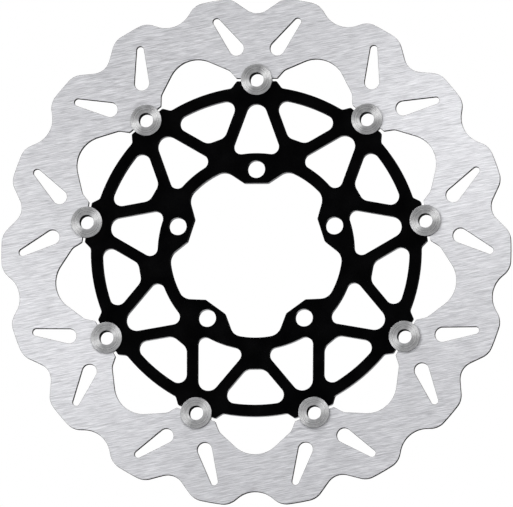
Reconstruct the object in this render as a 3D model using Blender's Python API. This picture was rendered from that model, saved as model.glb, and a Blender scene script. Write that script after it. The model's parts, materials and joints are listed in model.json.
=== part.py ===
"""Floating brake disc: a wave-edged steel ring hung on a black alloy carrier by nine bobbins.

The disc stands upright. Its axis is Y, its outboard face looks to -Y, the wheel hub is on the
+Y side and Z is up. The origin lies on the axis, in the middle of the brake ring's thickness.
Angles in the plane of the disc are degrees clockwise from the top, seen from the outboard side.
Every length below is in millimetres and is turned into metres when a mesh is made.
"""
import math

import bmesh
import bpy

MM = 0.001

# Brake ring
RING_RADIUS = 160.0
RING_THICKNESS = 5.0
CREST_CORNER = 11.6          # rounding at both ends of each crest
CREST_HALF_ANGLE = 2.35      # from a crest's middle to the centre of that rounding
BUTTON_VALLEY = (149.9, 11.0)     # lowest radius and rounding of the valley over a bobbin
BETWEEN_VALLEY = (150.9, 17.0)    # the same, halfway between two bobbins
SLOT_INNER = (128.5, 5.76, 4.7)   # radius from the axis, angle from the bobbin, rounding
SLOT_OUTER = (146.75, 9.99, 2.35)
BAY_TOP = 127.5              # how far out the bays between the feet reach
BAY_ARCH = 18.7
BAY_SHOULDER = (17.4, 109.5, 6.3)  # across and along the bay's axis, and rounding
FOOT_EDGE = 109.0            # inner edge of each foot, measured along its bobbin's line
FOOT_HALF_WIDTH = 13.3
FOOT_CORNER = 0.8

# Carrier
CARRIER_THICKNESS = 5.6
RIM_OUTER = 103.8
RIM_INNER = 96.4
LUG_EDGE = 107.1
LUG_HALF_FLAT = 11.8
LUG_CORNER = 1.5
LUG_FILLET = 2.75
LUG_FILLET_ANGLE = 9.4
WINDOW_BASE = 61.8           # inner windows stand on this radius
WINDOW_TOP = 92.7
WINDOW_TOP_ROUND = 6.6
WINDOW_FOOT = (9.45, 4.7)    # half spacing and rounding of the two lower corners
GAP_FOOT = (2.75, 74.0, 6.6)       # outer windows: half spacing, lowest point and rounding
GAP_CORNER = (12.6, 5.3)     # half spacing and rounding of their two upper corners

# Hub end of the carrier
HUB_LAND_RADIUS = 60.0
HUB_LAND_HEIGHT = 1.0
HUB_OPENING = 54.2
HUB_OPENING_FILLET = (8.3, 25.9)   # rounding beside each ear, and its angle from the ear
EAR_EDGE = 42.9
EAR_CORNER = (7.0, 1.5)      # half spacing and rounding of the ear's two corners
BOLT_COUNT = 5
BOLT_CIRCLE = 51.7
BOLT_HOLE = 5.5

# Bobbins and what holds them
BOBBIN_COUNT = 9
BOBBIN_CIRCLE = 108.0
NOTCH = 7.6                  # half-round seats in the feet and in the lugs
BARREL = 7.4
FLANGE = 9.75
FLANGE_FRONT = -4.5
SEAT = 2.95                  # flange and washer each sit this far from the middle plane
BORE = 4.5
TAIL = 6.0
TAIL_END = 6.9
GROOVE = 5.5
GROOVE_SPAN = (5.05, 6.1)
WASHER = (6.15, 9.5)
WASHER_THICKNESS = 0.8
SPRING = (6.2, 9.0)
SPRING_THICKNESS = 0.3
SPRING_SPAN = (3.85, 4.98)
SPRING_WAVES = 3
CLIP = (5.6, 8.0)
CLIP_SPAN = (5.15, 5.95)
CLIP_EYE_CIRCLE = 7.2
CLIP_EYE_ANGLE = 22.0
CLIP_EYE = 1.4
CLIP_EYE_HOLE = 0.6

# Fineness of the faceted curves
ARC_SAG = 0.1                # furthest that a facet may fall inside its arc
TURNED_STEPS = 20
SPRING_STEPS = 24

PITCH = 360.0 / BOBBIN_COUNT


def polar(radius, angle):
    """A point in the plane of the disc, its angle clockwise from the top."""
    turn = math.radians(angle)
    return radius * math.sin(turn), radius * math.cos(turn)


def turned(point, angle):
    """The point turned clockwise about the axis."""
    across, up = point
    turn = math.radians(angle)
    return (across * math.cos(turn) + up * math.sin(turn),
            up * math.cos(turn) - across * math.sin(turn))


def at(point, rounding):
    """One step of an outline: a circle that the outline runs round."""
    return point[0], point[1], rounding


def facets(radius, sweep):
    """How many straight facets keep an arc within ARC_SAG of its circle."""
    if abs(radius) <= ARC_SAG:
        return 1
    widest = 2 * math.acos(1 - ARC_SAG / abs(radius))
    return max(1, math.ceil(abs(sweep) / widest))


def wrap(circles):
    """An outline pulled round circles like a belt, anticlockwise.

    Each circle is (across, up, radius). The belt turns left round a positive radius, right
    round a negative one, and makes a sharp corner at zero. Between two circles it runs along
    the line that touches both.
    """
    headings = []
    for index, (x, z, radius) in enumerate(circles):
        next_x, next_z, next_radius = circles[(index + 1) % len(circles)]
        gap = math.hypot(next_x - x, next_z - z)
        lean = max(-1.0, min(1.0, (radius - next_radius) / gap))
        headings.append(math.atan2(next_z - z, next_x - x) + math.asin(lean))
    points = []
    for index, (x, z, radius) in enumerate(circles):
        start = headings[index - 1]
        sweep = math.remainder(headings[index] - start, math.tau)
        if radius * sweep < -1e-6:
            sweep += math.copysign(math.tau, radius)
        pieces = facets(radius, sweep)
        for piece in range(pieces + 1):
            heading = start + sweep * piece / pieces
            points.append((x + radius * math.sin(heading), z - radius * math.cos(heading)))
    return without_repeats(points)


def without_repeats(points):
    """The points without those that fall on the one before."""
    kept = []
    for point in points:
        if not kept or math.dist(point, kept[-1]) > 1e-3:
            kept.append(point)
    if math.dist(kept[0], kept[-1]) < 1e-3:
        kept.pop()
    return kept


def circle(centre, radius):
    """A round hole's outline."""
    steps = facets(radius, math.tau)
    points = []
    for step in range(steps):
        across, up = polar(radius, 360.0 * step / steps)
        points.append((centre[0] + across, centre[1] + up))
    return points


def ring_edge():
    """The wave round the outside of the brake ring: two crests and two valleys a bobbin."""
    corner = RING_RADIUS - CREST_CORNER
    circles = []
    for station in range(BOBBIN_COUNT):
        line = -station * PITCH
        for valley, valley_line in ((BUTTON_VALLEY, line), (BETWEEN_VALLEY, line - PITCH / 2)):
            crest_line = valley_line - PITCH / 4
            circles.append(at(polar(valley[0] + valley[1], valley_line), -valley[1]))
            circles.append(at(polar(corner, crest_line + CREST_HALF_ANGLE), CREST_CORNER))
            circles.append((0.0, 0.0, RING_RADIUS))
            circles.append(at(polar(corner, crest_line - CREST_HALF_ANGLE), CREST_CORNER))
    return wrap(circles)


def ring_opening():
    """The inside of the brake ring: a foot with a half-round seat at each bobbin, then a bay."""
    seat_mouth = math.sqrt(NOTCH ** 2 - (FOOT_EDGE - BOBBIN_CIRCLE) ** 2)
    toe = (FOOT_HALF_WIDTH - FOOT_CORNER, FOOT_EDGE + FOOT_CORNER)
    shoulder_across, shoulder_up, shoulder_round = BAY_SHOULDER
    circles = []
    for station in range(BOBBIN_COUNT):
        line = -station * PITCH
        circles.append(at(turned(toe, line), -FOOT_CORNER))
        circles.append(at(turned((seat_mouth, FOOT_EDGE), line), 0.0))
        circles.append(at(turned((0.0, BOBBIN_CIRCLE), line), NOTCH))
        circles.append(at(turned((-seat_mouth, FOOT_EDGE), line), 0.0))
        circles.append(at(turned((-toe[0], toe[1]), line), -FOOT_CORNER))
        bay = line - PITCH / 2
        circles.append(at(turned((shoulder_across, shoulder_up), bay), shoulder_round))
        circles.append(at(turned((0.0, BAY_TOP - BAY_ARCH), bay), BAY_ARCH))
        circles.append(at(turned((-shoulder_across, shoulder_up), bay), shoulder_round))
    return wrap(circles)


def ring_slots():
    """A leaning pair of tapered slots over each bobbin."""
    slots = []
    for station in range(BOBBIN_COUNT):
        for side in (1, -1):
            ends = []
            for radius, lean, rounding in (SLOT_INNER, SLOT_OUTER):
                ends.append(at(polar(radius, station * PITCH + side * lean), rounding))
            slots.append(wrap(ends))
    return slots


def carrier_edge():
    """The outside of the carrier: a round rim with a notched lug at each bobbin."""
    seat_mouth = math.sqrt(NOTCH ** 2 - (BOBBIN_CIRCLE - LUG_EDGE) ** 2)
    fillet_radius = RIM_OUTER + LUG_FILLET
    corner_up = LUG_EDGE - LUG_CORNER
    circles = []
    for station in range(BOBBIN_COUNT):
        line = -station * PITCH
        circles.append((0.0, 0.0, RIM_OUTER))
        circles.append(at(polar(fillet_radius, line + LUG_FILLET_ANGLE), -LUG_FILLET))
        circles.append(at(turned((LUG_HALF_FLAT, corner_up), line), LUG_CORNER))
        circles.append(at(turned((seat_mouth, LUG_EDGE), line), 0.0))
        circles.append(at(turned((0.0, BOBBIN_CIRCLE), line), -NOTCH))
        circles.append(at(turned((-seat_mouth, LUG_EDGE), line), 0.0))
        circles.append(at(turned((-LUG_HALF_FLAT, corner_up), line), LUG_CORNER))
        circles.append(at(polar(fillet_radius, line - LUG_FILLET_ANGLE), -LUG_FILLET))
    return wrap(circles)


def inner_windows():
    """A tall window under each bobbin, standing on the solid hub ring."""
    half, rounding = WINDOW_FOOT
    foot_up = math.sqrt((WINDOW_BASE + rounding) ** 2 - half ** 2)
    windows = []
    for station in range(BOBBIN_COUNT):
        line = station * PITCH
        windows.append(wrap([
            at(turned((0.0, WINDOW_TOP - WINDOW_TOP_ROUND), line), WINDOW_TOP_ROUND),
            at(turned((-half, foot_up), line), rounding),
            (0.0, 0.0, -WINDOW_BASE),
            at(turned((half, foot_up), line), rounding),
        ]))
    return windows


def outer_windows():
    """A wide window under the rim, halfway between each two bobbins."""
    foot_half, foot_edge, foot_round = GAP_FOOT
    half, rounding = GAP_CORNER
    corner_up = math.sqrt((RIM_INNER - rounding) ** 2 - half ** 2)
    windows = []
    for station in range(BOBBIN_COUNT):
        line = (station + 0.5) * PITCH
        windows.append(wrap([
            (0.0, 0.0, RIM_INNER),
            at(turned((-half, corner_up), line), rounding),
            at(turned((-foot_half, foot_edge + foot_round), line), foot_round),
            at(turned((foot_half, foot_edge + foot_round), line), foot_round),
            at(turned((half, corner_up), line), rounding),
        ]))
    return windows


def hub_opening():
    """The opening over the wheel's hub, between the ears that take the bolts."""
    half, corner = EAR_CORNER
    fillet, fillet_angle = HUB_OPENING_FILLET
    circles = []
    for bolt in range(BOLT_COUNT):
        line = -bolt * 360.0 / BOLT_COUNT
        circles.append(at(polar(HUB_OPENING - fillet, line + fillet_angle), fillet))
        circles.append(at(turned((half, EAR_EDGE + corner), line), -corner))
        circles.append(at(turned((-half, EAR_EDGE + corner), line), -corner))
        circles.append(at(polar(HUB_OPENING - fillet, line - fillet_angle), fillet))
        circles.append((0.0, 0.0, HUB_OPENING))
    return wrap(circles)


def bolt_holes():
    """Five plain holes for the bolts that hold the disc to the wheel."""
    holes = []
    for bolt in range(BOLT_COUNT):
        centre = polar(BOLT_CIRCLE, 360.0 * bolt / BOLT_COUNT)
        holes.append(circle(centre, BOLT_HOLE))
    return holes


def material(name, colour, metallic, roughness):
    """A plain Principled material."""
    made = bpy.data.materials.new(name)
    made.use_nodes = True
    shader = made.node_tree.nodes["Principled BSDF"]
    shader.inputs["Base Color"].default_value = (*colour, 1.0)
    shader.inputs["Metallic"].default_value = metallic
    shader.inputs["Roughness"].default_value = roughness
    return made


def mesh_from(mesh_bm, name, finish, smooth_angle=30.0):
    """Turn a bmesh in millimetres into a mesh in metres, faces outward and shaded smooth."""
    bmesh.ops.recalc_face_normals(mesh_bm, faces=mesh_bm.faces)
    bmesh.ops.scale(mesh_bm, vec=(MM, MM, MM), verts=mesh_bm.verts)
    mesh = bpy.data.meshes.new(name)
    mesh_bm.to_mesh(mesh)
    mesh_bm.free()
    mesh.shade_smooth()
    mesh.set_sharp_from_angle(angle=math.radians(smooth_angle))
    mesh.materials.append(finish)
    return mesh


def add(name, mesh, parent=None):
    """Put a mesh in the scene under its part's name."""
    piece = bpy.data.objects.new(name, mesh)
    bpy.context.scene.collection.objects.link(piece)
    piece.parent = parent
    return piece


def add_loop(mesh_bm, points, depth):
    """Edges round an outline, in the plane that lies depth along the axis."""
    corners = [mesh_bm.verts.new((x, depth, z)) for x, z in points]
    edges = []
    for index, corner in enumerate(corners):
        edges.append(mesh_bm.edges.new((corners[index - 1], corner)))
    return edges


def fill(mesh_bm, edges):
    """Flat faces between an outline and the holes inside it."""
    made = bmesh.ops.triangle_fill(mesh_bm, edges=edges, use_beauty=True, normal=(0, 1, 0))
    return [item for item in made["geom"] if isinstance(item, bmesh.types.BMFace)]


def extrude(mesh_bm, faces, distance):
    """Push flat faces along the axis and give back the faces at the new end."""
    made = bmesh.ops.extrude_face_region(mesh_bm, geom=faces)["geom"]
    corners = [item for item in made if isinstance(item, bmesh.types.BMVert)]
    bmesh.ops.translate(mesh_bm, verts=corners, vec=(0, distance, 0))
    return [item for item in made if isinstance(item, bmesh.types.BMFace)]


def plate(name, outlines, front, thickness, finish):
    """A flat plate with holes: the first outline is its edge, the others are cut through."""
    mesh_bm = bmesh.new()
    edges = []
    for outline in outlines:
        edges += add_loop(mesh_bm, outline, front)
    extrude(mesh_bm, fill(mesh_bm, edges), thickness)
    return mesh_from(mesh_bm, name, finish)


def spin(profile, steps):
    """A ring turned about Y from a closed profile of (radius, depth) points."""
    mesh_bm = bmesh.new()
    corners = [mesh_bm.verts.new((radius, depth, 0)) for radius, depth in profile]
    edges = []
    for index, corner in enumerate(corners):
        edges.append(mesh_bm.edges.new((corners[index - 1], corner)))
    bmesh.ops.spin(mesh_bm, geom=corners + edges, axis=(0, 1, 0), cent=(0, 0, 0),
                   angle=math.tau, steps=steps, use_merge=True)
    return mesh_bm


def flat_ring(inner, outer, front, back):
    """The profile of a washer."""
    return [(inner, front), (outer, front), (outer, back), (inner, back)]


def make_brake_ring(finish):
    """The steel ring that the pads squeeze."""
    outlines = [ring_edge(), ring_opening(), *ring_slots()]
    return plate("brake_ring", outlines, -RING_THICKNESS / 2, RING_THICKNESS, finish)


def make_carrier(finish):
    """The alloy centre, with a raised land round its opening on the hub side."""
    mesh_bm = bmesh.new()
    front = -CARRIER_THICKNESS / 2
    land = add_loop(mesh_bm, circle((0.0, 0.0), HUB_LAND_RADIUS), front)
    web = list(land)
    for outline in (carrier_edge(), *inner_windows(), *outer_windows()):
        web += add_loop(mesh_bm, outline, front)
    hub = list(land)
    for outline in (hub_opening(), *bolt_holes()):
        hub += add_loop(mesh_bm, outline, front)
    faces = fill(mesh_bm, web) + fill(mesh_bm, hub)
    back = extrude(mesh_bm, faces, CARRIER_THICKNESS)
    hub_back = []
    for face in back:
        if all(math.hypot(v.co.x, v.co.z) < HUB_LAND_RADIUS + 0.1 for v in face.verts):
            hub_back.append(face)
    extrude(mesh_bm, hub_back, HUB_LAND_HEIGHT)
    bmesh.ops.delete(mesh_bm, geom=hub_back, context="FACES")
    return mesh_from(mesh_bm, "carrier", finish)


def make_bobbin(finish):
    """A flanged bush: flat flange in front, barrel in the seats, grooved tail behind."""
    groove_front, groove_back = GROOVE_SPAN
    profile = [
        (BORE, FLANGE_FRONT),
        (FLANGE, FLANGE_FRONT),
        (FLANGE, -SEAT),
        (BARREL, -SEAT),
        (BARREL, SEAT - 0.05),
        (TAIL, SEAT - 0.05),
        (TAIL, groove_front),
        (GROOVE, groove_front),
        (GROOVE, groove_back),
        (TAIL, groove_back),
        (TAIL, TAIL_END),
        (BORE, TAIL_END),
    ]
    return mesh_from(spin(profile, TURNED_STEPS), "bobbin", finish)


def make_flat_washer(finish):
    """The washer that bears on both the ring's foot and the carrier's lug."""
    profile = flat_ring(*WASHER, SEAT, SEAT + WASHER_THICKNESS)
    return mesh_from(spin(profile, TURNED_STEPS), "flat_washer", finish)


def make_wave_spring(finish):
    """A thin spring washer bent into three waves."""
    front, back = SPRING_SPAN
    height = (back - front - SPRING_THICKNESS) / 2
    middle = (front + back) / 2
    half = SPRING_THICKNESS / 2
    mesh_bm = spin(flat_ring(*SPRING, middle - half, middle + half), SPRING_STEPS)
    for vert in mesh_bm.verts:
        around = math.atan2(vert.co.x, vert.co.z)
        vert.co.y += height * math.cos(SPRING_WAVES * around)
    return mesh_from(mesh_bm, "wave_spring", finish, smooth_angle=50.0)


def make_circlip(finish):
    """An open spring ring with two eyes, snapped into the bobbin's groove."""
    inner, outer = CLIP
    front, back = CLIP_SPAN
    left = polar(CLIP_EYE_CIRCLE, -CLIP_EYE_ANGLE)
    right = polar(CLIP_EYE_CIRCLE, CLIP_EYE_ANGLE)
    edge = wrap([
        (0.0, 0.0, outer),
        at(right, CLIP_EYE),
        (0.0, 0.0, -inner),
        at(left, CLIP_EYE),
    ])
    holes = [circle(left, CLIP_EYE_HOLE), circle(right, CLIP_EYE_HOLE)]
    return plate("circlip", [edge, *holes], front, back - front, finish)


def clear_scene():
    """Take away whatever the scene holds."""
    for old in list(bpy.data.objects):
        bpy.data.objects.remove(old, do_unlink=True)


def build():
    """Make every part, then hang one set of bobbin, washer, spring and clip at each station."""
    clear_scene()
    steel = material("ring_steel", (0.62, 0.62, 0.64), 1.0, 0.42)
    black = material("black_anodised", (0.006, 0.006, 0.007), 0.0, 0.45)
    turned_alloy = material("turned_alloy", (0.46, 0.46, 0.46), 1.0, 0.35)
    plated = material("plated_steel", (0.50, 0.50, 0.48), 1.0, 0.40)
    spring_steel = material("spring_steel", (0.36, 0.36, 0.37), 1.0, 0.32)
    clip_steel = material("clip_steel", (0.10, 0.10, 0.11), 1.0, 0.45)

    add("brake_ring", make_brake_ring(steel))
    add("carrier", make_carrier(black))
    station_set = {
        "bobbin": make_bobbin(turned_alloy),
        "flat_washer": make_flat_washer(plated),
        "wave_spring": make_wave_spring(spring_steel),
        "circlip": make_circlip(clip_steel),
    }
    for station in range(BOBBIN_COUNT):
        line = station * PITCH
        across, up = polar(BOBBIN_CIRCLE, line)
        axis = add(f"station_{station + 1}", None)
        axis.location = (across * MM, 0.0, up * MM)
        axis.rotation_euler = (0.0, math.radians(line), 0.0)
        for part, mesh in station_set.items():
            add(f"{part}_{station + 1}", mesh, axis)


build()
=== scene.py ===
"""The finished look of a floating brake disc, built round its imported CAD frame.

The frame gives every thickness, place and body. The outlines of the two plates and the sections
of the turned pieces are drawn again here, with finer arcs and with the broken edges that the
faceted CAD leaves out. Lengths named in capitals are in millimetres, and become metres when a
mesh is made. Angles in the plane of the disc are degrees clockwise from the top, seen from the
outboard side, which looks to -Y.
"""

import json
import math

import bmesh
import bpy
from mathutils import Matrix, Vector


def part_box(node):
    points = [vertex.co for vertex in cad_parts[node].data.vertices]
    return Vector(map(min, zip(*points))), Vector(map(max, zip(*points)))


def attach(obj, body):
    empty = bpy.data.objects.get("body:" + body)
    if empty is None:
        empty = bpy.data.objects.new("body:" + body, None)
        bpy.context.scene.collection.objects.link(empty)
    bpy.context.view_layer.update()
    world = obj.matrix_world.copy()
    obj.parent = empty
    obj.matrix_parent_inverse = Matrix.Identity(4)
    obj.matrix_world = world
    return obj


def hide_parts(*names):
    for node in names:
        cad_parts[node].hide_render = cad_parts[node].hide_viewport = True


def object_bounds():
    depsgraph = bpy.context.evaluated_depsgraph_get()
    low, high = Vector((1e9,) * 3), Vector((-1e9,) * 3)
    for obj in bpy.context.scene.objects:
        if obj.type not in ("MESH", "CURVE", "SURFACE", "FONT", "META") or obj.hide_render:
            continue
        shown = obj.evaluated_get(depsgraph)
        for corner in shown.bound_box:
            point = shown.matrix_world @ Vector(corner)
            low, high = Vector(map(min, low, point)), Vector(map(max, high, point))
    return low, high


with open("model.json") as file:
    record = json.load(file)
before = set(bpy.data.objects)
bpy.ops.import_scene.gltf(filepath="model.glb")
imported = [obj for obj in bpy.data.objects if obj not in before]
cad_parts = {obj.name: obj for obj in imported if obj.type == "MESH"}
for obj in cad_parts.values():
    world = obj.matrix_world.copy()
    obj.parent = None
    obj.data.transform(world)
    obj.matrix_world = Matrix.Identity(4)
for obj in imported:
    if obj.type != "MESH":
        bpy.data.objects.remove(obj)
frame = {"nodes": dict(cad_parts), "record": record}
CAD_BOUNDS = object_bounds()
MM = 0.001

BODY_OF = {}
for body_name, body_nodes in frame["record"]["behaviour"]["bodies"].items():
    for node_name in body_nodes:
        BODY_OF[node_name] = body_name
BOBBINS = sorted(name for name in frame["nodes"] if name.startswith("bobbin_"))
PITCH = 360.0 / len(BOBBINS)

# Brake ring
CREST_CORNER = 11.6               # rounding at both ends of each crest
CREST_HALF_ANGLE = 2.35           # from a crest's middle to the centre of that rounding
BUTTON_VALLEY = (149.9, 11.0)     # lowest radius and rounding of the valley over a bobbin
BETWEEN_VALLEY = (150.9, 17.0)    # the same, halfway between two bobbins
SLOT_INNER = (128.5, 5.76, 4.7)   # radius from the axis, angle from the bobbin, rounding
SLOT_OUTER = (146.75, 9.99, 2.35)
BAY_TOP = 127.5                   # how far out the bays between the feet reach
BAY_ARCH = 18.7
BAY_SHOULDER = (17.4, 109.5, 6.3)  # across and along the bay's axis, and rounding
FOOT_EDGE = 109.0                 # inner edge of each foot, along its bobbin's line
FOOT_HALF_WIDTH = 13.3
FOOT_CORNER = 0.8

# Carrier
RIM_OUTER = 103.8
RIM_INNER = 96.4
LUG_EDGE = 107.1
LUG_HALF_FLAT = 11.8
LUG_CORNER = 1.5
LUG_FILLET = 2.75
LUG_FILLET_ANGLE = 9.4
WINDOW_BASE = 61.8                # inner windows stand on this radius
WINDOW_TOP = 92.7
WINDOW_TOP_ROUND = 6.6
WINDOW_FOOT = (9.45, 4.7)         # half spacing and rounding of the two lower corners
GAP_FOOT = (2.75, 74.0, 6.6)      # outer windows: half spacing, lowest point and rounding
GAP_CORNER = (12.6, 5.3)          # half spacing and rounding of their two upper corners
HUB_LAND_RADIUS = 60.0
HUB_LAND_HEIGHT = 1.0
HUB_LAND_FILLET = 0.3
HUB_OPENING = 54.2
HUB_OPENING_FILLET = (8.3, 25.9)  # rounding beside each ear, and its angle from the ear
EAR_EDGE = 42.9
EAR_CORNER = (7.0, 1.5)           # half spacing and rounding of the ear's two corners
BOLT_COUNT = 5
BOLT_CIRCLE = 51.7
BOLT_HOLE = 5.5

# Bobbins and what holds them
BOBBIN_CIRCLE = 108.0
NOTCH = 7.6                       # half-round seats in the feet and in the lugs
NOTCH_MOUTH = 0.4                 # rounding where a seat meets the edge that it is cut into
BARREL = 7.4
FLANGE = 9.75
SEAT = 2.95                       # flange and washer each sit this far from the middle plane
BARREL_END = 2.9
BORE = 4.5
TAIL = 6.0
GROOVE = 5.5
GROOVE_SPAN = (5.05, 6.1)
WASHER = (6.15, 9.5)
SPRING = (6.2, 9.0)
SPRING_THICKNESS = 0.3
SPRING_WAVES = 3
CLIP = (5.6, 8.0)
CLIP_EYE_CIRCLE = 7.2
CLIP_EYE_ANGLE = 22.0
CLIP_EYE = 1.4
CLIP_EYE_HOLE = 0.6

# Broken edges
RING_EDGE = 0.15
CARRIER_EDGE = 0.3
CLIP_EDGE = 0.12
STAMPED_EDGE = 0.12
SPRING_EDGE = 0.1
FLANGE_RIM = 0.15
BORE_EDGE = 0.15
TAIL_EDGE = 0.3
SMALL_EDGE = 0.1

# Fineness of the curves
ARC_SAG = 0.012                   # furthest that a facet may fall inside its arc
WIDEST_TURN = math.radians(22.5)  # most that one facet turns from the next
EDGE_STEPS = 3
TURNED_STEPS = 112
SPRING_STEPS = 144


def polar(radius, angle):
    """A point in the plane of the disc, its angle clockwise from the top."""
    turn = math.radians(angle)
    return radius * math.sin(turn), radius * math.cos(turn)


def turned(point, angle):
    """The point turned clockwise about the axis."""
    across, up = point
    turn = math.radians(angle)
    return (across * math.cos(turn) + up * math.sin(turn),
            up * math.cos(turn) - across * math.sin(turn))


def at(point, rounding):
    """One step of an outline: a circle that the outline runs round."""
    return point[0], point[1], rounding


def depths(node):
    """Where a CAD node begins and ends along the axis, in millimetres."""
    low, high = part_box(node)
    return low.y / MM, high.y / MM


def facets(radius, sweep):
    """How many straight facets keep an arc close to its circle, and smooth."""
    widest = WIDEST_TURN
    if abs(radius) > ARC_SAG:
        widest = min(widest, 2 * math.acos(1 - ARC_SAG / abs(radius)))
    return max(1, math.ceil(abs(sweep) / widest))


def wrap(circles):
    """An outline pulled round circles like a belt, anticlockwise.

    Each circle is (across, up, radius). The belt turns left round a positive radius and right
    round a negative one. Between two circles it runs along the line that touches both. Each
    point comes with the direction that the outline faces there: (across, up, out, out).
    """
    headings = []
    for index, (x, z, radius) in enumerate(circles):
        next_x, next_z, next_radius = circles[(index + 1) % len(circles)]
        gap = math.hypot(next_x - x, next_z - z)
        lean = max(-1.0, min(1.0, (radius - next_radius) / gap))
        headings.append(math.atan2(next_z - z, next_x - x) + math.asin(lean))
    points = []
    for index, (x, z, radius) in enumerate(circles):
        start = headings[index - 1]
        sweep = math.remainder(headings[index] - start, math.tau)
        if radius * sweep < -1e-6:
            sweep += math.copysign(math.tau, radius)
        pieces = facets(radius, sweep)
        for piece in range(pieces + 1):
            heading = start + sweep * piece / pieces
            out = (math.sin(heading), -math.cos(heading))
            points.append((x + radius * out[0], z + radius * out[1], *out))
    return without_repeats(points)


def without_repeats(points):
    """The points without those that fall on the one before."""
    kept = []
    for point in points:
        if not kept or math.dist(point[:2], kept[-1][:2]) > 1e-3:
            kept.append(point)
    if math.dist(kept[0][:2], kept[-1][:2]) < 1e-3:
        kept.pop()
    return kept


def soften(corners):
    """A closed section, anticlockwise, with an arc at each corner (across, up, rounding)."""
    circles = []
    for index, (x, y, rounding) in enumerate(corners):
        before_x, before_y, _ = corners[index - 1]
        after_x, after_y, _ = corners[(index + 1) % len(corners)]
        arrive = math.atan2(y - before_y, x - before_x)
        turn = math.remainder(math.atan2(after_y - y, after_x - x) - arrive, math.tau)
        side = math.copysign(rounding, turn)
        reach = rounding * math.tan(abs(turn) / 2)
        circles.append((x - reach * math.cos(arrive) - side * math.sin(arrive),
                        y - reach * math.sin(arrive) + side * math.cos(arrive), side))
    return wrap(circles)


def circle(centre, radius):
    """A round outline, anticlockwise."""
    steps = facets(radius, math.tau)
    points = []
    for step in range(steps):
        out = polar(1.0, -360.0 * step / steps)
        points.append((centre[0] + radius * out[0], centre[1] + radius * out[1], *out))
    return points


def ring_edge(radius):
    """The wave round the outside of the brake ring: two crests and two valleys a bobbin."""
    corner = radius - CREST_CORNER
    circles = []
    for station in range(len(BOBBINS)):
        line = -station * PITCH
        for valley, valley_line in ((BUTTON_VALLEY, line), (BETWEEN_VALLEY, line - PITCH / 2)):
            crest_line = valley_line - PITCH / 4
            circles.append(at(polar(valley[0] + valley[1], valley_line), -valley[1]))
            circles.append(at(polar(corner, crest_line + CREST_HALF_ANGLE), CREST_CORNER))
            circles.append((0.0, 0.0, radius))
            circles.append(at(polar(corner, crest_line - CREST_HALF_ANGLE), CREST_CORNER))
    return wrap(circles)


def notch_mouth(edge, side):
    """The centre of the small rounding between a seat and a straight edge beside it.

    The side is 1 where the metal lies further out than the edge, and -1 where it lies inside.
    """
    up = edge + side * NOTCH_MOUTH
    return math.sqrt((NOTCH + NOTCH_MOUTH) ** 2 - (up - BOBBIN_CIRCLE) ** 2), up


def ring_opening():
    """The inside of the brake ring: a foot with a half-round seat at each bobbin, then a bay."""
    mouth_across, mouth_up = notch_mouth(FOOT_EDGE, 1)
    toe = (FOOT_HALF_WIDTH - FOOT_CORNER, FOOT_EDGE + FOOT_CORNER)
    shoulder_across, shoulder_up, shoulder_round = BAY_SHOULDER
    circles = []
    for station in range(len(BOBBINS)):
        line = -station * PITCH
        circles.append(at(turned(toe, line), -FOOT_CORNER))
        circles.append(at(turned((mouth_across, mouth_up), line), -NOTCH_MOUTH))
        circles.append(at(turned((0.0, BOBBIN_CIRCLE), line), NOTCH))
        circles.append(at(turned((-mouth_across, mouth_up), line), -NOTCH_MOUTH))
        circles.append(at(turned((-toe[0], toe[1]), line), -FOOT_CORNER))
        bay = line - PITCH / 2
        circles.append(at(turned((shoulder_across, shoulder_up), bay), shoulder_round))
        circles.append(at(turned((0.0, BAY_TOP - BAY_ARCH), bay), BAY_ARCH))
        circles.append(at(turned((-shoulder_across, shoulder_up), bay), shoulder_round))
    return wrap(circles)


def ring_slots():
    """A leaning pair of tapered slots over each bobbin."""
    slots = []
    for station in range(len(BOBBINS)):
        for side in (1, -1):
            ends = []
            for radius, lean, rounding in (SLOT_INNER, SLOT_OUTER):
                ends.append(at(polar(radius, station * PITCH + side * lean), rounding))
            slots.append(wrap(ends))
    return slots


def carrier_edge():
    """The outside of the carrier: a round rim with a notched lug at each bobbin."""
    mouth_across, mouth_up = notch_mouth(LUG_EDGE, -1)
    fillet_radius = RIM_OUTER + LUG_FILLET
    corner_up = LUG_EDGE - LUG_CORNER
    circles = []
    for station in range(len(BOBBINS)):
        line = -station * PITCH
        circles.append((0.0, 0.0, RIM_OUTER))
        circles.append(at(polar(fillet_radius, line + LUG_FILLET_ANGLE), -LUG_FILLET))
        circles.append(at(turned((LUG_HALF_FLAT, corner_up), line), LUG_CORNER))
        circles.append(at(turned((mouth_across, mouth_up), line), NOTCH_MOUTH))
        circles.append(at(turned((0.0, BOBBIN_CIRCLE), line), -NOTCH))
        circles.append(at(turned((-mouth_across, mouth_up), line), NOTCH_MOUTH))
        circles.append(at(turned((-LUG_HALF_FLAT, corner_up), line), LUG_CORNER))
        circles.append(at(polar(fillet_radius, line - LUG_FILLET_ANGLE), -LUG_FILLET))
    return wrap(circles)


def inner_windows():
    """A tall window under each bobbin, standing on the solid hub ring."""
    half, rounding = WINDOW_FOOT
    foot_up = math.sqrt((WINDOW_BASE + rounding) ** 2 - half ** 2)
    windows = []
    for station in range(len(BOBBINS)):
        line = station * PITCH
        windows.append(wrap([
            at(turned((0.0, WINDOW_TOP - WINDOW_TOP_ROUND), line), WINDOW_TOP_ROUND),
            at(turned((-half, foot_up), line), rounding),
            (0.0, 0.0, -WINDOW_BASE),
            at(turned((half, foot_up), line), rounding),
        ]))
    return windows


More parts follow.
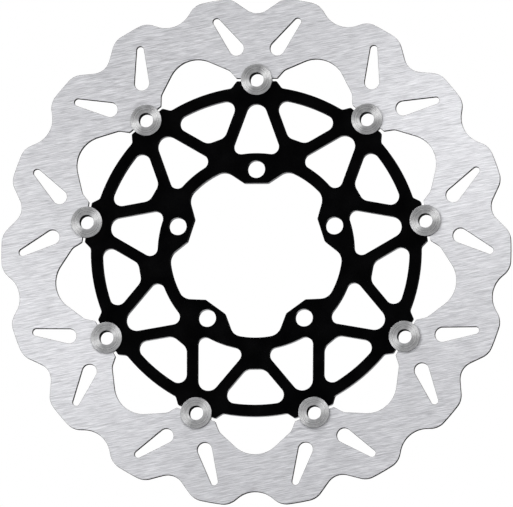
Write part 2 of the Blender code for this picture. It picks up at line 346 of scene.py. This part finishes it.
def outer_windows():
    """A wide window under the rim, halfway between each two bobbins."""
    foot_half, foot_edge, foot_round = GAP_FOOT
    half, rounding = GAP_CORNER
    corner_up = math.sqrt((RIM_INNER - rounding) ** 2 - half ** 2)
    windows = []
    for station in range(len(BOBBINS)):
        line = (station + 0.5) * PITCH
        windows.append(wrap([
            (0.0, 0.0, RIM_INNER),
            at(turned((-half, corner_up), line), rounding),
            at(turned((-foot_half, foot_edge + foot_round), line), foot_round),
            at(turned((foot_half, foot_edge + foot_round), line), foot_round),
            at(turned((half, corner_up), line), rounding),
        ]))
    return windows


def hub_opening():
    """The opening over the wheel's hub, between the ears that take the bolts."""
    half, corner = EAR_CORNER
    fillet, fillet_angle = HUB_OPENING_FILLET
    circles = []
    for bolt in range(BOLT_COUNT):
        line = -bolt * 360.0 / BOLT_COUNT
        circles.append(at(polar(HUB_OPENING - fillet, line + fillet_angle), fillet))
        circles.append(at(turned((half, EAR_EDGE + corner), line), -corner))
        circles.append(at(turned((-half, EAR_EDGE + corner), line), -corner))
        circles.append(at(polar(HUB_OPENING - fillet, line - fillet_angle), fillet))
        circles.append((0.0, 0.0, HUB_OPENING))
    return wrap(circles)


def bolt_holes():
    """Five plain holes for the bolts that hold the disc to the wheel."""
    holes = []
    for bolt in range(BOLT_COUNT):
        holes.append(circle(polar(BOLT_CIRCLE, 360.0 * bolt / BOLT_COUNT), BOLT_HOLE))
    return holes


def curl(inset, depth, size, start, end):
    """A quarter round of a wall: steps of (distance into the metal, depth, lean).

    The lean is the way that the wall faces: -90 is the outboard side, 0 is straight across and
    90 is the hub side. The inset and depth are those of the round's centre. A negative size
    makes the round hollow.
    """
    steps = []
    for step in range(EDGE_STEPS + 1):
        lean = math.radians(start + (end - start) * step / EDGE_STEPS)
        steps.append((inset - size * math.cos(lean), depth + size * math.sin(lean), lean))
    return steps


def wall_steps(front, back, size):
    """The steps down a straight wall whose two ends are rounded."""
    return (curl(size, front + size, size, -90, 0)
            + curl(size, back - size, size, 0, 90))


class Shell:
    """A closed surface in the making, in millimetres, that knows which way each point faces."""

    FACE, EDGE = 0, 1                  # material slots

    def __init__(self):
        self.mesh_bm = bmesh.new()
        self.facings = []

    def point(self, place, facing):
        self.facings.append(Vector(facing).normalized())
        return self.mesh_bm.verts.new(place)

    def band(self, rows, slots):
        """Faces between closed rows of points, with the slot of each column of faces."""
        for row, next_row in zip(rows, rows[1:]):
            for index, slot in enumerate(slots):
                corners = (row[index - 1], row[index], next_row[index], next_row[index - 1])
                self.mesh_bm.faces.new(corners).material_index = slot

    def wall(self, outline, metal, steps):
        """A wall along an outline. The metal is 1 outside the outline and -1 inside it."""
        rows = []
        for inset, depth, lean in steps:
            row = []
            for x, z, out_x, out_z in outline:
                place = (x + metal * inset * out_x, depth, z + metal * inset * out_z)
                level = -metal * math.cos(lean)
                row.append(self.point(place, (level * out_x, math.sin(lean), level * out_z)))
            rows.append(row)
        self.band(rows, [self.EDGE] * len(outline))
        return rows[0], rows[-1]

    def cap(self, rows):
        """Flat faces between the first row and the others, which are holes in it."""
        edges = []
        for row in rows:
            for index in range(len(row)):
                edges.append(self.mesh_bm.edges.get((row[index - 1], row[index])))
        made = bmesh.ops.triangle_fill(self.mesh_bm, edges=edges, use_beauty=True,
                                       normal=(0, 1, 0))
        for item in made["geom"]:
            if isinstance(item, bmesh.types.BMFace):
                item.material_index = self.FACE

    def mesh(self, name, finishes):
        """The finished mesh, in metres."""
        bmesh.ops.recalc_face_normals(self.mesh_bm, faces=self.mesh_bm.faces)
        bmesh.ops.scale(self.mesh_bm, vec=(MM, MM, MM), verts=self.mesh_bm.verts)
        mesh = bpy.data.meshes.new(name)
        self.mesh_bm.to_mesh(mesh)
        self.mesh_bm.free()
        for finish in finishes:
            mesh.materials.append(finish)
        mesh.shade_smooth()
        mesh.normals_split_custom_set_from_vertices(self.facings)
        return mesh


def plate_mesh(name, edge, holes, span, broken, finishes):
    """A flat plate with holes, its edges slightly rounded."""
    shell = Shell()
    steps = wall_steps(*span, broken)
    rows = [shell.wall(edge, -1, steps)]
    for hole in holes:
        rows.append(shell.wall(hole, 1, steps))
    shell.cap([first for first, _ in rows])
    shell.cap([last for _, last in rows])
    return shell.mesh(name, finishes)


def carrier_mesh(name, span, finishes):
    """The carrier, whose hub side has a raised land round the opening."""
    front, land_top = span
    back = land_top - HUB_LAND_HEIGHT
    size = CARRIER_EDGE
    shell = Shell()
    web = [shell.wall(carrier_edge(), -1, wall_steps(front, back, size))]
    for window in (*inner_windows(), *outer_windows()):
        web.append(shell.wall(window, 1, wall_steps(front, back, size)))
    hub = []
    for opening in (hub_opening(), *bolt_holes()):
        hub.append(shell.wall(opening, 1, wall_steps(front, land_top, size)))
    fillet = HUB_LAND_FILLET
    land_steps = (curl(-fillet, back + fillet, -fillet, 90, 0)
                  + curl(size, land_top - size, size, 0, 90))
    land_foot, land_rim = shell.wall(circle((0.0, 0.0), HUB_LAND_RADIUS), -1, land_steps)
    shell.cap([first for first, _ in web + hub])
    shell.cap([last for _, last in web] + [land_foot])
    shell.cap([land_rim] + [last for _, last in hub])
    return shell.mesh(name, finishes)


def spun_mesh(name, section, steps, finishes, wave=None):
    """A ring turned about Y from a section, bent along the axis by a wave if there is one.

    With two finishes, the second is that of the walls, which face away from the axis or to it.
    """
    shell = Shell()
    rows = []
    for step in range(steps):
        around = math.tau * step / steps
        across, up = math.sin(around), math.cos(around)
        rise, slope = wave(around) if wave else (0.0, 0.0)
        row = []
        for radius, depth, out, along in section:
            skew = -along * slope / radius
            row.append(shell.point(
                (radius * across, depth + rise, radius * up),
                (out * across + skew * up, along, out * up - skew * across)))
        rows.append(row)
    slots = []
    for index, point in enumerate(section):
        is_wall = max(abs(point[3]), abs(section[index - 1][3])) < 0.5
        slots.append(shell.EDGE if is_wall and len(finishes) > 1 else shell.FACE)
    shell.band(rows + rows[:1], slots)
    return shell.mesh(name, finishes)


def flat_section(inner, outer, front, back, rounding):
    """The section of a washer."""
    return soften([(inner, front, rounding), (outer, front, rounding),
                   (outer, back, rounding), (inner, back, rounding)])


def bobbin_mesh(name, span, finishes):
    """A flanged bush: flat flange in front, barrel in the seats, grooved tail behind."""
    front, back = span
    groove_front, groove_back = GROOVE_SPAN
    section = soften([
        (BORE, front, BORE_EDGE),
        (FLANGE, front, FLANGE_RIM),
        (FLANGE, -SEAT, SMALL_EDGE),
        (BARREL, -SEAT, SMALL_EDGE),
        (BARREL, BARREL_END, SMALL_EDGE),
        (TAIL, BARREL_END, SMALL_EDGE),
        (TAIL, groove_front, SMALL_EDGE),
        (GROOVE, groove_front, SMALL_EDGE),
        (GROOVE, groove_back, SMALL_EDGE),
        (TAIL, groove_back, SMALL_EDGE),
        (TAIL, back, TAIL_EDGE),
        (BORE, back, TAIL_EDGE),
    ])
    return spun_mesh(name, section, TURNED_STEPS, finishes)


def spring_mesh(name, span, finish):
    """A thin spring washer bent into three waves."""
    front, back = span
    height = (back - front - SPRING_THICKNESS) / 2
    middle = (front + back) / 2
    half = SPRING_THICKNESS / 2

    def wave(around):
        return (height * math.cos(SPRING_WAVES * around),
                -height * SPRING_WAVES * math.sin(SPRING_WAVES * around))

    section = flat_section(*SPRING, middle - half, middle + half, SPRING_EDGE)
    return spun_mesh(name, section, SPRING_STEPS, [finish], wave)


def circlip_mesh(name, span, finish):
    """An open spring ring with two eyes, snapped into the bobbin's groove."""
    inner, outer = CLIP
    left = polar(CLIP_EYE_CIRCLE, -CLIP_EYE_ANGLE)
    right = polar(CLIP_EYE_CIRCLE, CLIP_EYE_ANGLE)
    edge = wrap([
        (0.0, 0.0, outer),
        at(right, CLIP_EYE),
        (0.0, 0.0, -inner),
        at(left, CLIP_EYE),
    ])
    holes = [circle(left, CLIP_EYE_HOLE), circle(right, CLIP_EYE_HOLE)]
    return plate_mesh(name, edge, holes, span, CLIP_EDGE, [finish, finish])


GRAIN_REACH = 0.2                      # how far the noise runs from its middle before it is cut


class Finish:
    """A Principled material and the few node shapes that this scene makes its details from."""

    def __init__(self, name):
        self.material = bpy.data.materials.new(name)
        self.material.use_nodes = True
        self.tree = self.material.node_tree
        self.shader = self.tree.nodes["Principled BSDF"]

    def node(self, kind, **settings):
        made = self.tree.nodes.new(kind)
        for setting, value in settings.items():
            setattr(made, setting, value)
        return made

    def link(self, source, target):
        self.tree.links.new(source, target)

    def set(self, **values):
        """Fixed values on the shader's own sockets, such as Specular_IOR_Level=0.2."""
        for name, value in values.items():
            self.shader.inputs[name.replace("_", " ")].default_value = value

    def place(self):
        """Where a point lies on its piece, in metres."""
        return self.node("ShaderNodeTexCoord").outputs["Object"]

    def turn(self, vector, degrees):
        """The place turned about the disc's axis."""
        rotate = self.node("ShaderNodeVectorRotate", rotation_type="Y_AXIS")
        rotate.inputs["Angle"].default_value = math.radians(degrees)
        self.link(vector, rotate.inputs["Vector"])
        return rotate.outputs["Vector"]

    def grain(self, vector, size, detail):
        """Noise from 0 to 1 with features of the given size along X, Y and Z, in millimetres."""
        stretch = self.node("ShaderNodeVectorMath", operation="MULTIPLY")
        stretch.inputs[1].default_value = [1.0 / (length * MM) for length in size]
        self.link(vector, stretch.inputs[0])
        noise = self.node("ShaderNodeTexNoise")
        noise.inputs["Scale"].default_value = 1.0
        noise.inputs["Detail"].default_value = detail
        self.link(stretch.outputs["Vector"], noise.inputs["Vector"])
        spread = self.node("ShaderNodeMapRange")
        spread.inputs["From Min"].default_value = 0.5 - GRAIN_REACH
        spread.inputs["From Max"].default_value = 0.5 + GRAIN_REACH
        self.link(noise.outputs["Fac"], spread.inputs["Value"])
        return spread.outputs["Result"]

    def radius(self, vector):
        """The distance from the piece's own axis, laid out along X."""
        level = self.node("ShaderNodeVectorMath", operation="MULTIPLY")
        level.inputs[1].default_value = (1.0, 0.0, 1.0)
        self.link(vector, level.inputs[0])
        length = self.node("ShaderNodeVectorMath", operation="LENGTH")
        self.link(level.outputs["Vector"], length.inputs[0])
        spread = self.node("ShaderNodeCombineXYZ")
        self.link(length.outputs["Value"], spread.inputs["X"])
        return spread.outputs["Vector"]

    def blend(self, first, second, share):
        """Two values mixed, with this share of the second."""
        mix = self.node("ShaderNodeMix", data_type="FLOAT")
        mix.inputs["Factor"].default_value = share
        self.link(first, mix.inputs["A"])
        self.link(second, mix.inputs["B"])
        return mix.outputs["Result"]

    def span(self, value, low, high):
        """A value from 0 to 1 spread between two numbers."""
        spread = self.node("ShaderNodeMapRange")
        spread.inputs["To Min"].default_value = low
        spread.inputs["To Max"].default_value = high
        self.link(value, spread.inputs["Value"])
        return spread.outputs["Result"]

    def colour(self, value, dark, light):
        """The base colour, between two colours."""
        mix = self.node("ShaderNodeMix", data_type="RGBA")
        colours = [socket for socket in mix.inputs if socket.type == "RGBA"]
        colours[0].default_value = (*dark, 1.0)
        colours[1].default_value = (*light, 1.0)
        self.link(value, mix.inputs["Factor"])
        result = next(socket for socket in mix.outputs if socket.type == "RGBA")
        self.link(result, self.shader.inputs["Base Color"])

    def roughness(self, value, low, high):
        self.link(self.span(value, low, high), self.shader.inputs["Roughness"])

    def bump(self, value, height, strength):
        """Relief of the given height in millimetres, shown at the given strength."""
        relief = self.node("ShaderNodeBump")
        relief.inputs["Strength"].default_value = strength
        relief.inputs["Distance"].default_value = height * MM
        self.link(value, relief.inputs["Height"])
        self.link(relief.outputs["Normal"], self.shader.inputs["Normal"])

    def turned_sheen(self, amount):
        """Stretches the gloss across grooves that run round the piece's axis."""
        self.set(Anisotropic=amount, Anisotropic_Rotation=0.25)
        tangent = self.node("ShaderNodeTangent", direction_type="RADIAL", axis="Y")
        self.link(tangent.outputs["Tangent"], self.shader.inputs["Tangent"])


BRUSHING_ANGLE = 10.5                 # how far the brushing rises to the right


def brushed_steel():
    """Stainless steel brushed in one direction across the whole ring."""
    finish = Finish("brushed_steel")
    finish.set(Metallic=1.0)
    along = finish.turn(finish.place(), BRUSHING_ANGLE)
    streaks = finish.grain(along, (9.0, 5.0, 0.32), detail=1.0)
    hairs = finish.grain(along, (6.0, 5.0, 0.14), detail=2.0)
    both = finish.blend(streaks, hairs, 0.7)
    finish.colour(both, (0.38, 0.38, 0.40), (0.90, 0.90, 0.92))
    finish.roughness(hairs, 0.34, 0.44)
    finish.bump(both, 0.004, 0.5)
    finish.turned_sheen(0.5)
    return finish.material


def cut_oxide_and_painted_shade():
    """The dark oxide that cutting leaves on the ring's walls, with fine upright marks; made
    near-black and without gloss, so that its darkness is partly oxide and partly painted shade
    along every edge.
    """
    finish = Finish("cut_oxide_and_painted_shade")
    place = finish.place()
    marks = finish.grain(place, (0.35, 6.0, 0.35), detail=2.0)
    scale = finish.grain(place, (2.5, 1.2, 2.5), detail=3.0)
    both = finish.blend(marks, scale, 0.4)
    # near-black wall colour: partly oxide, partly painted shade that draws the dark lines along
    # the edges
    finish.colour(both, (0.010, 0.010, 0.010), (0.042, 0.040, 0.039))
    finish.roughness(both, 0.5, 0.7)
    finish.bump(marks, 0.02, 0.8)
    finish.set(Specular_IOR_Level=0.0)
    return finish.material


def black_anodised(name, dark, light, specular):
    """Matt black anodised alloy with a fine blasted grain."""
    finish = Finish(name)
    place = finish.place()
    grain = finish.grain(place, (0.16, 0.16, 0.16), detail=2.0)
    cloud = finish.grain(place, (14.0, 14.0, 14.0), detail=3.0)
    finish.colour(finish.blend(grain, cloud, 0.5), dark, light)
    finish.roughness(cloud, 0.17, 0.24)
    finish.bump(grain, 0.002, 0.5)
    finish.set(Specular_IOR_Level=specular)
    return finish.material


def turned_alloy():
    """Bright alloy with the fine grooves that a lathe leaves."""
    finish = Finish("turned_alloy")
    finish.set(Metallic=1.0)
    place = finish.place()
    radius = finish.radius(place)
    grooves = finish.grain(radius, (0.12, 1.0, 1.0), detail=2.0)
    bands = finish.grain(radius, (0.4, 1.0, 1.0), detail=1.0)
    smears = finish.grain(place, (1.6, 1.6, 1.6), detail=2.0)
    finish.colour(finish.blend(grooves, smears, 0.4), (0.40, 0.40, 0.405), (0.62, 0.62, 0.62))
    finish.roughness(bands, 0.24, 0.34)
    finish.bump(grooves, 0.006, 0.4)
    finish.turned_sheen(0.8)
    return finish.material


def dark_anodising_and_painted_shade():
    """The bobbins' walls, bores included: anodised dark, with the marks of turning left in; made
    near-black and without gloss, so that their darkness is partly anodising and partly painted
    shade round the flanges and in the bores.
    """
    finish = Finish("dark_anodising_and_painted_shade")
    place = finish.place()
    marks = finish.grain(place, (3.0, 0.15, 3.0), detail=2.0)
    cloud = finish.grain(place, (1.5, 1.5, 1.5), detail=2.0)
    # near-black wall colour: partly dark anodising, partly painted shade round the flanges and in
    # the bores
    finish.colour(finish.blend(marks, cloud, 0.5), (0.010, 0.010, 0.010), (0.045, 0.045, 0.046))
    finish.roughness(marks, 0.45, 0.65)
    finish.bump(marks, 0.01, 0.5)
    finish.set(Specular_IOR_Level=0.0)
    return finish.material


def plated_steel():
    """Zinc-plated steel, slightly clouded."""
    finish = Finish("plated_steel")
    finish.set(Metallic=1.0)
    place = finish.place()
    cloud = finish.grain(place, (2.2, 2.2, 2.2), detail=4.0)
    pores = finish.grain(place, (0.12, 0.12, 0.12), detail=1.0)
    finish.colour(cloud, (0.40, 0.40, 0.38), (0.58, 0.58, 0.57))
    finish.roughness(pores, 0.32, 0.46)
    finish.bump(pores, 0.004, 0.5)
    return finish.material


def spring_steel():
    """Tempered strip, rolled lengthwise."""
    finish = Finish("spring_steel")
    finish.set(Metallic=1.0)
    place = finish.place()
    rolled = finish.grain(finish.radius(place), (0.15, 1.0, 1.0), detail=2.0)
    cloud = finish.grain(place, (3.0, 3.0, 3.0), detail=3.0)
    finish.colour(finish.blend(rolled, cloud, 0.6), (0.26, 0.26, 0.28), (0.46, 0.44, 0.42))
    finish.roughness(cloud, 0.24, 0.36)
    finish.bump(rolled, 0.004, 0.5)
    return finish.material


def clip_steel():
    """Phosphated spring steel: dark, dull and slightly grainy."""
    finish = Finish("clip_steel")
    finish.set(Metallic=0.7, Specular_IOR_Level=0.4)
    place = finish.place()
    grain = finish.grain(place, (0.1, 0.1, 0.1), detail=2.0)
    cloud = finish.grain(place, (2.0, 2.0, 2.0), detail=3.0)
    finish.colour(finish.blend(grain, cloud, 0.5), (0.05, 0.05, 0.055), (0.14, 0.14, 0.15))
    finish.roughness(grain, 0.38, 0.55)
    finish.bump(grain, 0.005, 0.5)
    return finish.material


def put(name, mesh, node, slot):
    """Show a mesh in place of a CAD node, on that node's body."""
    piece = bpy.data.objects.new(name, mesh)
    bpy.context.scene.collection.objects.link(piece)
    if slot not in ("brake_ring", "carrier"):
        low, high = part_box("bobbin_" + node.rsplit("_", 1)[1])
        centre = (low + high) / 2
        piece.location = (centre.x, 0.0, centre.z)
        piece.rotation_euler = (0.0, math.atan2(centre.x, centre.z), 0.0)
    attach(piece, BODY_OF[node])
    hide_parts(node)


def build_plates():
    """The brake ring and the carrier."""
    _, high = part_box("brake_ring")
    # the second finish, on the walls and broken edges, is partly oxide and partly painted shade
    steel = [brushed_steel(), cut_oxide_and_painted_shade()]
    holes = [ring_opening(), *ring_slots()]
    ring = plate_mesh("fine_brake_ring", ring_edge(high.x / MM), holes, depths("brake_ring"),
                      RING_EDGE, steel)
    put("fine_brake_ring", ring, "brake_ring", "brake_ring")
    black = [
        black_anodised("black_anodised", (0.0003, 0.0003, 0.0004), (0.0010, 0.0010, 0.0012), 0.06),
        black_anodised("black_edge", (0.001, 0.001, 0.0011), (0.004, 0.004, 0.0043), 0.12),
    ]
    carrier = carrier_mesh("fine_carrier", depths("carrier"), black)
    put("fine_carrier", carrier, "carrier", "carrier")


def build_stations():
    """The bobbin, washer, spring and clip at each station."""
    washer_section = flat_section(*WASHER, *depths("flat_washer_1"), STAMPED_EDGE)
    meshes = {
        # the bobbins' second finish, on their walls and bores, is partly dark anodising and partly
        # painted shade
        "bobbin": bobbin_mesh("fine_bobbin", depths("bobbin_1"), [turned_alloy(), dark_anodising_and_painted_shade()]),
        "flat_washer": spun_mesh("fine_flat_washer", washer_section, TURNED_STEPS,
                                 [plated_steel()]),
        "wave_spring": spring_mesh("fine_wave_spring", depths("wave_spring_1"), spring_steel()),
        "circlip": circlip_mesh("fine_circlip", depths("circlip_1"), clip_steel()),
    }
    for bobbin in BOBBINS:
        number = bobbin.rsplit("_", 1)[1]
        for slot, mesh in meshes.items():
            put(f"fine_{slot}_{number}", mesh, f"{slot}_{number}", slot)


# Camera
CAMERA_AZIMUTH = 5.2              # degrees to the right of the disc's axis
CAMERA_ELEVATION = -5.9           # degrees above it, so the camera looks up slightly
CAMERA_ROLL = 0.27
CAMERA_DISTANCE = 12.0
CAMERA_REACH = 4.0                # how many times its distance the camera sees
FRAMED_WIDTH = 0.3209             # the picture's width at the disc's face
FRAME_CENTRE = (0.00040, -0.00139)
SENSOR_WIDTH = 36.0

# Light
BACKGROUND = 1.0
SURROUND = 0.7
SURROUND_TINT = (0.96, 0.965, 1.0)
SURROUND_SPAN = (12.0, 60.0)      # angles off the disc's axis where it begins and is full
LIGHT_DISTANCE = 4.8
SOFTBOXES = [                     # name, clock angle, angle off the disc's axis, size, power
    ("overhead", 340, 45, 1.8, 43.0),
    ("upper_left", 305, 45, 1.4, 39.0),
    ("key", 35, 22, 1.4, 34.0),
    ("right", 85, 30, 1.4, 11.0),
    ("left", 270, 22, 1.4, 20.0),
    ("rear_high", 20, 135, 1.8, 80.0),
    ("rear_side", 290, 150, 1.4, 50.0),
]
FLOOR_RADIUS = 12.0
FLOOR_SIDES = 96
FLOOR_FADE = (0.8, 3.0)           # distances at which the floor begins to fade and is gone


def direction(clock, off_axis):
    """A direction in front of the disc: its clock angle, and its angle from the disc's axis."""
    away = math.sin(math.radians(off_axis))
    across, up = polar(away, clock)
    return Vector((across, -math.cos(math.radians(off_axis)), up))


def aim(thing, target):
    """Turn a camera or a light towards a point."""
    thing.rotation_euler = (Vector(target) - thing.location).to_track_quat("-Z", "Y").to_euler()


def add_camera():
    """A long lens, slightly to the right of the disc and slightly below it."""
    camera = bpy.data.objects.new("camera", bpy.data.cameras.new("camera"))
    bpy.context.scene.collection.objects.link(camera)
    camera.data.sensor_width = SENSOR_WIDTH
    camera.data.lens = CAMERA_DISTANCE * SENSOR_WIDTH / FRAMED_WIDTH
    camera.data.clip_end = CAMERA_REACH * CAMERA_DISTANCE
    azimuth, elevation = math.radians(CAMERA_AZIMUTH), math.radians(CAMERA_ELEVATION)
    target = Vector((FRAME_CENTRE[0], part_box("brake_ring")[0].y, FRAME_CENTRE[1]))
    away = Vector((math.sin(azimuth) * math.cos(elevation),
                   -math.cos(azimuth) * math.cos(elevation), math.sin(elevation)))
    camera.location = target + CAMERA_DISTANCE * away
    aim(camera, target)
    camera.rotation_euler.rotate_axis("Z", math.radians(CAMERA_ROLL))
    bpy.context.scene.camera = camera


def add_softbox(name, clock, off_axis, size, power):
    """A square soft light that looks at the disc. Off the axis by more than 90 is behind it."""
    light = bpy.data.lights.new(name, "AREA")
    light.size = size
    light.energy = power
    lamp = bpy.data.objects.new(name, light)
    bpy.context.scene.collection.objects.link(lamp)
    lamp.location = LIGHT_DISTANCE * direction(clock, off_axis)
    lamp.visible_camera = False
    aim(lamp, (0.0, 0.0, 0.0))


def add_world():
    """A slightly cool surround, dark along the disc's axis. Behind the disc it looks white."""
    world = bpy.data.worlds.new("surround")
    bpy.context.scene.world = world
    world.use_nodes = True
    tree = world.node_tree
    seen = tree.nodes["Background"]
    seen.inputs["Color"].default_value = (1.0, 1.0, 1.0, 1.0)
    seen.inputs["Strength"].default_value = BACKGROUND
    lighting = tree.nodes.new("ShaderNodeBackground")
    lighting.inputs["Color"].default_value = (*SURROUND_TINT, 1.0)
    away = tree.nodes.new("ShaderNodeVectorMath")
    away.operation = "MULTIPLY"
    away.inputs[1].default_value = (1.0, 0.0, 1.0)
    tree.links.new(tree.nodes.new("ShaderNodeTexCoord").outputs["Generated"], away.inputs[0])
    length = tree.nodes.new("ShaderNodeVectorMath")
    length.operation = "LENGTH"
    tree.links.new(away.outputs["Vector"], length.inputs[0])
    strength = tree.nodes.new("ShaderNodeMapRange")
    strength.interpolation_type = "SMOOTHSTEP"
    strength.inputs["From Min"].default_value = math.sin(math.radians(SURROUND_SPAN[0]))
    strength.inputs["From Max"].default_value = math.sin(math.radians(SURROUND_SPAN[1]))
    strength.inputs["To Max"].default_value = SURROUND
    tree.links.new(length.outputs["Value"], strength.inputs["Value"])
    tree.links.new(strength.outputs["Result"], lighting.inputs["Strength"])
    path = tree.nodes.new("ShaderNodeLightPath")
    mix = tree.nodes.new("ShaderNodeMixShader")
    tree.links.new(path.outputs["Is Camera Ray"], mix.inputs["Fac"])
    tree.links.new(lighting.outputs["Background"], mix.inputs[1])
    tree.links.new(seen.outputs["Background"], mix.inputs[2])
    tree.links.new(mix.outputs["Shader"], tree.nodes["World Output"].inputs["Surface"])


def floor_material():
    """A pale floor that fades into the surround, and that isn't there seen from below."""
    finish = Finish("pale_floor")
    finish.set(Roughness=0.9, Specular_IOR_Level=0.1)
    speckle = finish.grain(finish.place(), (0.6, 0.6, 0.6), detail=2.0)
    finish.colour(speckle, (0.80, 0.80, 0.80), (0.83, 0.83, 0.83))
    distance = finish.node("ShaderNodeVectorMath", operation="LENGTH")
    finish.link(finish.place(), distance.inputs[0])
    fade = finish.node("ShaderNodeMapRange", interpolation_type="SMOOTHSTEP")
    fade.inputs["From Min"].default_value = FLOOR_FADE[0]
    fade.inputs["From Max"].default_value = FLOOR_FADE[1]
    finish.link(distance.outputs["Value"], fade.inputs["Value"])
    below = finish.node("ShaderNodeNewGeometry").outputs["Backfacing"]
    gone = finish.node("ShaderNodeMath", operation="MAXIMUM")
    finish.link(fade.outputs["Result"], gone.inputs[0])
    finish.link(below, gone.inputs[1])
    clear = finish.node("ShaderNodeBsdfTransparent")
    mix = finish.node("ShaderNodeMixShader")
    finish.link(gone.outputs["Value"], mix.inputs["Fac"])
    finish.link(finish.shader.outputs["BSDF"], mix.inputs[1])
    finish.link(clear.outputs["BSDF"], mix.inputs[2])
    finish.link(mix.outputs["Shader"], finish.tree.nodes["Material Output"].inputs["Surface"])
    return finish.material


def add_floor():
    """The floor that the disc stands on, at its lowest point."""
    mesh_bm = bmesh.new()
    bmesh.ops.create_circle(mesh_bm, cap_ends=True, segments=FLOOR_SIDES, radius=FLOOR_RADIUS)
    mesh = bpy.data.meshes.new("floor")
    mesh_bm.to_mesh(mesh)
    mesh_bm.free()
    mesh.materials.append(floor_material())
    floor = bpy.data.objects.new("floor", mesh)
    bpy.context.scene.collection.objects.link(floor)
    floor.location.z = CAD_BOUNDS[0].z


def add_stage():
    """Camera, lights, surround and floor."""
    bpy.context.scene.view_settings.view_transform = "Standard"
    add_camera()
    add_world()
    add_floor()
    for softbox in SOFTBOXES:
        add_softbox(*softbox)


build_plates()
build_stations()
add_stage()
